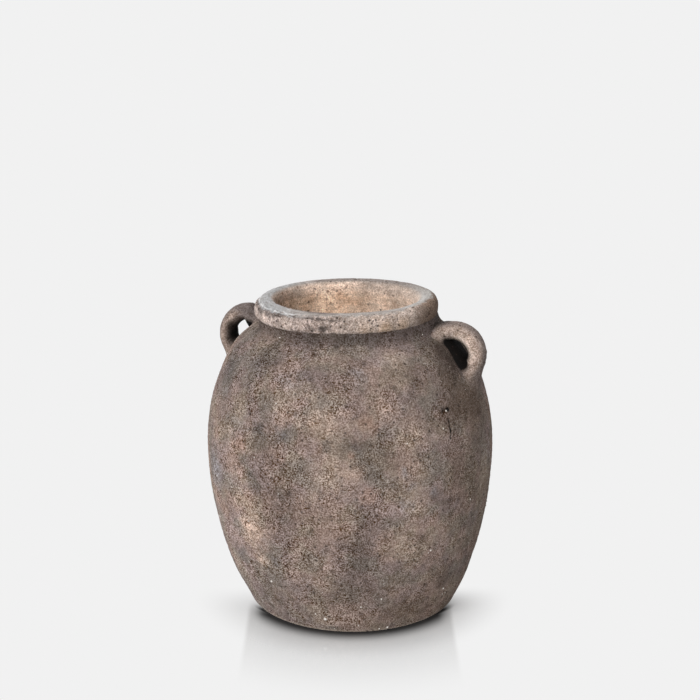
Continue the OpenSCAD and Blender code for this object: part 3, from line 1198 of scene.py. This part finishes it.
def set_grains(tree, size, points):
    """Ends a tree with a tiny, unevenly squashed ball on each point."""
    ball = {"Radius": size["Radius"], "Subdivisions": 1}
    grain = tree.node("GeometryNodeMeshIcoSphere", {}, ball, "Mesh")
    chance = random_value(tree, "FLOAT", 0.0, 1.0, 5)
    squash = random_value(tree, "FLOAT_VECTOR", (0.6, 0.6, 0.6), (1.3, 1.3, 1.3), 6)
    spin = random_value(tree, "FLOAT_VECTOR", (0, 0, 0), (TURN, TURN, TURN), 8)
    scale = tree.scaled(squash, 0.3 + chance * chance * chance * 0.7)
    set_in = {"Points": points, "Instance": grain, "Rotation": spin, "Scale": scale}
    return end_tree(tree, tree.node("GeometryNodeInstanceOnPoints", {}, set_in), size["Clay"])


grit_from = 2 * MM


def grit_tree():
    tree, size = node_group("grit in the skin", {"Density": "Float", "Radius": "Float", "Clay": "Material"})
    height = tree.node("GeometryNodeInputPosition").height()
    shown = (1 - named(tree, "inner")) * height.math("GREATER_THAN", height, grit_from)
    spread = {"Mesh": size["Geometry"], "Selection": shown, "Density": size["Density"], "Seed": 3}
    return set_grains(tree, size, tree.node("GeometryNodeDistributePointsOnFaces", {}, spread, "Points"))


def fleck_tree():
    tree, size = node_group("flecks at their places", {"Radius": "Float", "Clay": "Material"})
    return set_grains(tree, size, size["Geometry"])


def grit_clay(name, dull, bright):
    material, tree, at = clay_material(name)
    tone = at.noise(60, 0).fade(0.35, 0.65)
    fire(tree, tone.mix(dull, bright), at.noise(900, 1), 0.3 * MM)
    return material


# %% Set the grit and the flecks in the skin
# White flecks that catch the eye: turn in degrees and height in mm.
FLECKS = [
    (60, 215.5), (6, 15), (10, 3), (37, 4), (32, 39), (23, 31), (66, 33), (69, 26), (-19, 48), (52, 85),
    (51, 83), (40, 194), (57, 201), (-3, 71), (160, 30), (205, 60), (240, 200), (130, 180),
]
LIME_WHITE = rgb(0.80, 0.76, 0.72)

grit = bpy.data.objects.new("lime_grit", jar_wall.data.copy())
bpy.context.scene.collection.objects.link(grit)
dusty = grit_clay("grit_clay", rgb(0.40, 0.32, 0.27), LIME_WHITE)
grow(grit, grit_tree(), {"Density": 1100.0, "Radius": 1.05 * MM, "Clay": dusty})

fleck_spots = [jar_wall.closest_point_on_mesh(on_skin(*place))[1] for place in FLECKS]
flecks = new_piece("lime_flecks", fleck_spots)
white = grit_clay("fleck_clay", rgb(0.70, 0.65, 0.61), LIME_WHITE)
grow(flecks, fleck_tree(), {"Radius": 2.0 * MM, "Clay": white})

for piece in (grit, flecks):
    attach(piece, "root")
    print(piece.name, triangles(piece), "triangles")

# %% [markdown]
# ## The stage
# The photograph was taken on a pale, slightly polished table that runs into an even, pale background.
# Close to the foot the table is a real surface: it takes the jar's shadow and, in front, a soft reflection,
# and a dark line of contact shadow is painted under the foot. Further out it glows with the colour of the
# background, so that no horizon shows. To the light that the jar itself receives, the table is plain and
# half as bright, which lifts the underside of the belly.

# %% The table
paper = 0.88
bounce = 0.5
polish = 0.3
table_half = 3.0
table_drop = 0.1 * MM
corners = [(-1, -1), (1, -1), (1, 1), (-1, 1)]
table_points = [(x * table_half, y * table_half, -table_drop) for x, y in corners]
table = new_piece("stage_table", table_points, faces=[(0, 1, 2, 3)])


def table_masks(at):
    """Where the table is a real surface, where a contact shadow is painted under the foot and where it
    mirrors the jar.
    """
    foot_c = foot_shift * np.array(view_right) + foot_forth * np.array(view_front)
    radius = at.away(tuple(foot_c))
    toward = at.along(view_front)
    across = at.along(view_right)
    aside = across.math("ABSOLUTE", across)
    front = toward.fade_mm(30, 70)
    # Painted contact shadow: a thin ring round the foot, and a wider patch in front.
    ring = radius.fade_mm(112, 105) * (toward.fade_mm(40, 58) + toward.fade_mm(0, -40))
    contact_shadow = radius.fade_mm(130, 106) * front * aside.fade_mm(104, 84)
    contact_shadow = contact_shadow.math("MAXIMUM", contact_shadow, ring)
    behind = toward.fade_mm(-40, -80) * aside.fade_mm(105, 70)
    near = toward.fade_mm(0, 60) + behind
    near = near * (1 - across.fade_mm(-60, -105) * 0.35) * radius.fade_mm(165, 108, 0, 0.9)
    near = 1 - (1 - near) * (1 - contact_shadow)
    gloss = radius.fade_mm(240, 100, 0, polish) * front * aside.fade_mm(101, 95)
    return near, contact_shadow, gloss * (1 - contact_shadow * 0.8)


def table_paper():
    material, tree, at = clay_material("stage_paper")
    near, contact_shadow, gloss = table_masks(at)
    white = rgb(paper, paper, paper)
    # The painted contact shadow darkens the table's colour.
    dimmed = contact_shadow.mix(white, rgb(0.04, 0.04, 0.04))
    lit = tree.node("ShaderNodeBsdfDiffuse", {}, {"Color": dimmed})
    glow = tree.node("ShaderNodeEmission", {}, {"Color": white})
    mirror = tree.node("ShaderNodeBsdfGlossy", {}, {"Roughness": 0.08})
    dull = tree.node("ShaderNodeBsdfDiffuse", {}, {"Color": rgb(bounce, bounce, bounce)})
    top = tree.node("ShaderNodeMixShader", {}, {0: near, 1: glow, 2: lit})
    top = tree.node("ShaderNodeMixShader", {}, {0: gloss, 1: top, 2: mirror})
    seen = tree.node("ShaderNodeLightPath", {}, {}, "Is Camera Ray")
    top = tree.node("ShaderNodeMixShader", {}, {0: seen, 1: dull, 2: top})
    tree.node("ShaderNodeOutputMaterial", {}, {"Surface": top})
    return material


table.data.materials.append(table_paper())

# %% [markdown]
# ## The light
# A large soft lamp stands to the left of the camera, and a weaker one behind the jar keeps its back and
# right side from going black. Area lamps would do, but a sun with a wide disc gives the same soft edge
# from every place. The background is bright to the eye and dim to the clay, as in a studio tent.

# %% The light
sky = 0.38
sun_softness = 35

world = bpy.data.worlds.new("studio")
bpy.context.scene.world = world
world.use_nodes = True
world.node_tree.nodes.clear()
tree = Tree(world.node_tree)
rays = tree.node("ShaderNodeLightPath").socket.node.outputs
seen = Value(tree, rays["Is Camera Ray"]) + Value(tree, rays["Is Glossy Ray"])
seen = seen + Value(tree, rays["Is Transmission Ray"])
backdrop = {"Color": rgb(1, 1, 1), "Strength": seen.fade(0, 1, sky, paper)}
tree.node("ShaderNodeOutputWorld", {}, {"Surface": tree.node("ShaderNodeBackground", {}, backdrop)})


def sun(name, strength, lean, side):
    """A soft sun; lean is from overhead and side is to the left of the camera, both in degrees."""
    lamp = bpy.data.objects.new(name, bpy.data.lights.new(name, "SUN"))
    lamp.data.energy = strength * math.pi
    lamp.data.angle = math.radians(sun_softness)
    lamp.rotation_euler = (math.radians(lean), 0, view_turn - math.radians(side))
    lamp.visible_glossy = False
    bpy.context.scene.collection.objects.link(lamp)
    print(name, lean, "degrees from overhead,", side, "degrees left of the camera")


sun("key_light", 0.72, 60, 30)
sun("back_fill", 0.36, 82, 185)
bpy.context.scene.view_settings.view_transform = "Standard"
